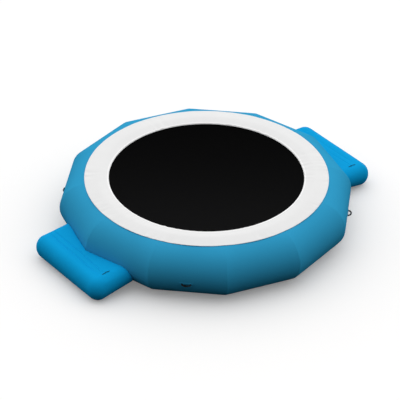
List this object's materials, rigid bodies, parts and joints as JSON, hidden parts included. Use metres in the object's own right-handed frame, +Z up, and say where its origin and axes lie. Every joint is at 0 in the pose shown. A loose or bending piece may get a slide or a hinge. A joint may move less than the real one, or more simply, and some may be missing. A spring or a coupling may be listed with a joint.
{
  "type": "water trampoline",
  "caption": "Inflated ring of welded straight lengths with a sprung jump mat inside a padded steel frame, anchor loops, and a hinged inflated boarding platform at either end.",
  "frame": {"origin": "middle of the ring, on the surface that it stands on", "axes": "+X through the middles of both boarding platforms, +Y along their long sides, +Z up from the floor through the jump mat"},
  "size_m": [5.9898, 5.0476, 0.9445],
  "materials": {
    "ring_skin": "coated tarpaulin, semi-gloss, blue",
    "platform_skin": "coated tarpaulin, semi-gloss, bright blue",
    "frame_steel": "galvanised",
    "spring_steel": "zinc plated, on a webbing hem",
    "mat_mesh": "woven, matte black",
    "pad_vinyl": "vinyl over foam, white",
    "strap_webbing": "woven webbing, black",
    "loop_rubber": "moulded, black",
    "valve_plastic": "matte grey",
    "plunger_plastic": "white",
    "cap_rubber": "matte black"
  },
  "bodies": {
    "ring": {"tube_length_1": "ring_skin", "tube_length_2": "ring_skin", "tube_length_3": "ring_skin", "tube_length_4": "ring_skin", "tube_length_5": "ring_skin", "tube_length_6": "ring_skin", "tube_length_7": "ring_skin", "tube_length_8": "ring_skin", "tube_length_9": "ring_skin", "tube_length_10": "ring_skin", "tube_length_11": "ring_skin", "tube_length_12": "ring_skin", "frame_section_1": "frame_steel", "frame_section_2": "frame_steel", "frame_section_3": "frame_steel", "frame_section_4": "frame_steel", "frame_section_5": "frame_steel", "frame_section_6": "frame_steel", "frame_sleeve_1": "frame_steel", "frame_sleeve_2": "frame_steel", "frame_sleeve_3": "frame_steel", "frame_sleeve_4": "frame_steel", "frame_sleeve_5": "frame_steel", "frame_sleeve_6": "frame_steel", "frame_strap_1": "strap_webbing", "frame_strap_2": "strap_webbing", "frame_strap_3": "strap_webbing", "frame_strap_4": "strap_webbing", "frame_strap_5": "strap_webbing", "frame_strap_6": "strap_webbing", "safety_pad": "pad_vinyl", "anchor_loop_1": "loop_rubber", "anchor_loop_2": "loop_rubber", "anchor_loop_3": "loop_rubber", "anchor_loop_4": "loop_rubber", "tube_valve_body": "valve_plastic"},
    "mat": {"jump_mat": "mat_mesh", "spring_set_1": "spring_steel", "spring_set_2": "spring_steel", "spring_set_3": "spring_steel", "spring_set_4": "spring_steel", "spring_set_5": "spring_steel", "spring_set_6": "spring_steel"},
    "platform_right_body": {"platform_right": "platform_skin", "right_hinge_flap_1": "ring_skin", "right_hinge_flap_2": "ring_skin", "right_grab_handle": "strap_webbing", "right_valve_body": "valve_plastic"},
    "platform_left_body": {"platform_left": "platform_skin", "left_hinge_flap_1": "ring_skin", "left_hinge_flap_2": "ring_skin", "left_grab_handle": "strap_webbing", "left_valve_body": "valve_plastic"},
    "tube_cap": {"tube_valve_cap": "cap_rubber"},
    "tube_plunger": {"tube_valve_plunger": "plunger_plastic"},
    "right_cap": {"right_valve_cap": "cap_rubber"},
    "right_plunger": {"right_valve_plunger": "plunger_plastic"},
    "left_cap": {"left_valve_cap": "cap_rubber"},
    "left_plunger": {"left_valve_plunger": "plunger_plastic"}
  },
  "joints": [
    {"name": "mat_bounce", "type": "slide", "parent": "ring", "child": "mat", "axis": [0, 0, 1], "range_m": [-0.08, 0], "stiffness_N_per_m": 12000, "springref_m": 0.03, "deforming": ["spring_set_1", "spring_set_2", "spring_set_3", "spring_set_4", "spring_set_5", "spring_set_6"]},
    {"name": "platform_right_hinge", "type": "hinge", "parent": "ring", "child": "platform_right_body", "pos_m": [2.5238, 0, 0.4528], "axis": [0, -1, 0], "range_deg": [0, 15]},
    {"name": "platform_left_hinge", "type": "hinge", "parent": "ring", "child": "platform_left_body", "pos_m": [-2.5238, 0, 0.4528], "axis": [0, 1, 0], "range_deg": [0, 15]},
    {"name": "tube_valve_cap_off", "type": "slide", "parent": "ring", "child": "tube_cap", "axis": [0.2391, 0.8924, 0.3827], "range_m": [0, 0.03]},
    {"name": "tube_valve_press", "type": "slide", "parent": "ring", "child": "tube_plunger", "axis": [0.2391, 0.8924, 0.3827], "range_m": [-0.006, 0], "stiffness_N_per_m": 300, "springref_m": 0.003},
    {"name": "right_valve_cap_off", "type": "slide", "parent": "platform_right_body", "child": "right_cap", "axis": [0.0083, 0.9983, 0.0574], "range_m": [0, 0.03]},
    {"name": "right_valve_press", "type": "slide", "parent": "platform_right_body", "child": "right_plunger", "axis": [0.0083, 0.9983, 0.0574], "range_m": [-0.006, 0], "stiffness_N_per_m": 300, "springref_m": 0.003},
    {"name": "left_valve_cap_off", "type": "slide", "parent": "platform_left_body", "child": "left_cap", "axis": [-0.0083, 0.9983, 0.0574], "range_m": [0, 0.03]},
    {"name": "left_valve_press", "type": "slide", "parent": "platform_left_body", "child": "left_plunger", "axis": [-0.0083, 0.9983, 0.0574], "range_m": [-0.006, 0], "stiffness_N_per_m": 300, "springref_m": 0.003}
  ]
}
